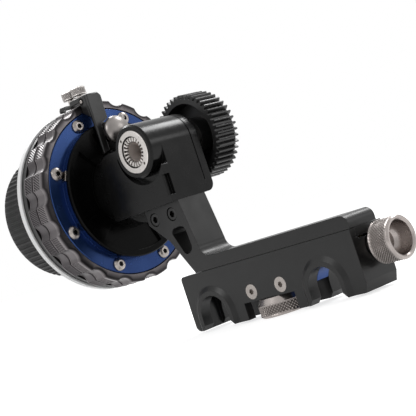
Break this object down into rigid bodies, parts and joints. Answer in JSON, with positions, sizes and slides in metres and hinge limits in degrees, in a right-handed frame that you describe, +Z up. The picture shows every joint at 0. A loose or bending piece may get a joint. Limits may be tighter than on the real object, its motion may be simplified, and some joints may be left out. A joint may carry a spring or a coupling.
{
  "type": "follow focus unit",
  "caption": "Follow focus unit: rod clamp block with a sliding dovetail arm, right-angle gearbox, toothed drive gear and a hand wheel with adjustable stop rings.",
  "frame": {"origin": "midpoint between the two rod axes, on the plane of the rod block's front face, at rod-centre height", "axes": "+X along the sliding bar towards its lock knob, +Y along the rods towards the drive gear, +Z up"},
  "size_m": [0.1915, 0.08, 0.1141],
  "materials": {
    "block_black": "satin black anodised",
    "arm_black": "satin black anodised",
    "housing_black": "satin black anodised",
    "flange_black": "semi-gloss black anodised",
    "bracket_black": "satin black anodised",
    "gear_black": "moulded, matt",
    "wheel_black": "satin",
    "screw_black": "black oxide",
    "screw_steel": "bright",
    "shaft_steel": "ground",
    "bearing_steel": "ground",
    "bush_bronze": "sintered bronze",
    "strip_brass": "brushed",
    "knob_silver": "diamond-knurled, bright",
    "thumb_silver": "knurled, bright",
    "dome_silver": "turned, semi-bright",
    "port_silver": "turned, bright",
    "bar_blue": "blue anodised",
    "drum_blue": "polished blue anodised",
    "ring_light": "grey anodised, fine knurl",
    "ring_dark": "dark grey anodised, fine knurl",
    "disc_white": "matt, writable",
    "grip_rubber": "ribbed, matt"
  },
  "bodies": {
    "clamp": {"clamp_block": "block_black", "guide_screws": "screw_steel"},
    "clamp_knob": {"clamp_knob": "knob_silver"},
    "clamp_bar": {"clamp_bar": "bar_blue"},
    "lock_knob": {"lock_knob": "knob_silver"},
    "lock_strip": {"lock_strip": "strip_brass"},
    "arm": {"arm": "arm_black", "arm_screws": "screw_black", "gearbox_body": "housing_black", "rear_cover": "housing_black", "cover_screws": "screw_black", "spanner_ring": "port_silver", "front_bearing": "bearing_steel", "rear_bearing": "bearing_steel", "idler_bush": "bush_bronze", "inner_bearing": "bearing_steel", "outer_bearing": "bearing_steel", "flange": "flange_black", "drum": "drum_blue", "drum_screws": "screw_steel", "stop_post": "bracket_black", "stop_bridge": "bracket_black", "bridge_pin": "screw_steel", "index_pointer": "bracket_black"},
    "output": {"drive_axle": "port_silver", "axle_gear": "shaft_steel", "drive_gear": "gear_black", "gear_cap": "gear_black"},
    "idler": {"idler_shaft": "shaft_steel", "idler_gear": "shaft_steel", "idler_bevel": "shaft_steel"},
    "hand_wheel": {"wheel_bevel": "shaft_steel", "wheel_axle": "shaft_steel", "wheel_plate": "wheel_black", "marking_disc": "disc_white", "wheel_core": "wheel_black", "grip": "grip_rubber", "wheel_cap": "wheel_black", "cap_screws": "screw_steel"},
    "stop_ring_a": {"stop_ring_a": "ring_light"},
    "stop_ring_b": {"stop_ring_b": "ring_dark"},
    "thumbscrew_a": {"thumbscrew_a": "thumb_silver"},
    "thumbscrew_b": {"thumbscrew_b": "thumb_silver"},
    "domed_knob": {"domed_knob": "dome_silver"}
  },
  "joints": [
    {"name": "clamp_knob_turn", "type": "hinge", "parent": "clamp", "child": "clamp_knob", "pos_m": [0.0003, 0.0071, -0.003], "axis": [0, 0, 1], "range_deg": [0, 450]},
    {"name": "clamp_bar_lift", "type": "slide", "parent": "clamp", "child": "clamp_bar", "axis": [0, 0, 1], "range_m": [-0.001, 0]},
    {"name": "lock_knob_turn", "type": "hinge", "parent": "clamp", "child": "lock_knob", "pos_m": [0.055, 0.0108, 0.0094], "axis": [1, 0, 0], "range_deg": [0, 360]},
    {"name": "lock_strip_draw", "type": "slide", "parent": "clamp", "child": "lock_strip", "axis": [1, 0, 0], "range_m": [0, 0.0008]},
    {"name": "arm_slide", "type": "slide", "parent": "clamp", "child": "arm", "axis": [1, 0, 0], "range_m": [-0.04, 0]},
    {"name": "wheel_turn", "type": "hinge", "parent": "arm", "child": "hand_wheel", "pos_m": [-0.1, 0.015, 0.06], "axis": [1, 0, 0], "range_deg": [-115, 115]},
    {"name": "idler_turn", "type": "hinge", "parent": "arm", "child": "idler", "pos_m": [-0.042, 0.006, 0.06], "axis": [0, 1, 0], "range_deg": [-115.5, 115.5]},
    {"name": "output_turn", "type": "hinge", "parent": "arm", "child": "output", "pos_m": [-0.042, 0.03, 0.0705], "axis": [0, 1, 0], "range_deg": [-71, 71]},
    {"name": "ring_a_turn", "type": "hinge", "parent": "arm", "child": "stop_ring_a", "pos_m": [-0.085, 0.015, 0.06], "axis": [1, 0, 0], "range_deg": [-40, 0]},
    {"name": "ring_b_turn", "type": "hinge", "parent": "arm", "child": "stop_ring_b", "pos_m": [-0.0915, 0.015, 0.06], "axis": [1, 0, 0], "range_deg": [0, 40]},
    {"name": "thumb_a_turn", "type": "hinge", "parent": "arm", "child": "thumbscrew_a", "pos_m": [-0.0846, 0.0124, 0.105], "axis": [0, 0, 1], "range_deg": [0, 180]},
    {"name": "thumb_b_turn", "type": "hinge", "parent": "arm", "child": "thumbscrew_b", "pos_m": [-0.0916, 0.0124, 0.105], "axis": [0, 0, 1], "range_deg": [0, 180]},
    {"name": "dome_pull", "type": "slide", "parent": "arm", "child": "domed_knob", "axis": [1, 0, 0], "range_m": [0, 0.003]}
  ],
  "couplings": [
    {"joint": "clamp_knob_turn", "follows": "clamp_bar_lift", "rad_per_m": -7854},
    {"joint": "lock_knob_turn", "follows": "lock_strip_draw", "rad_per_m": 7854},
    {"joint": "idler_turn", "follows": "wheel_turn", "ratio": -1},
    {"joint": "output_turn", "follows": "wheel_turn", "ratio": 0.61538}
  ]
}
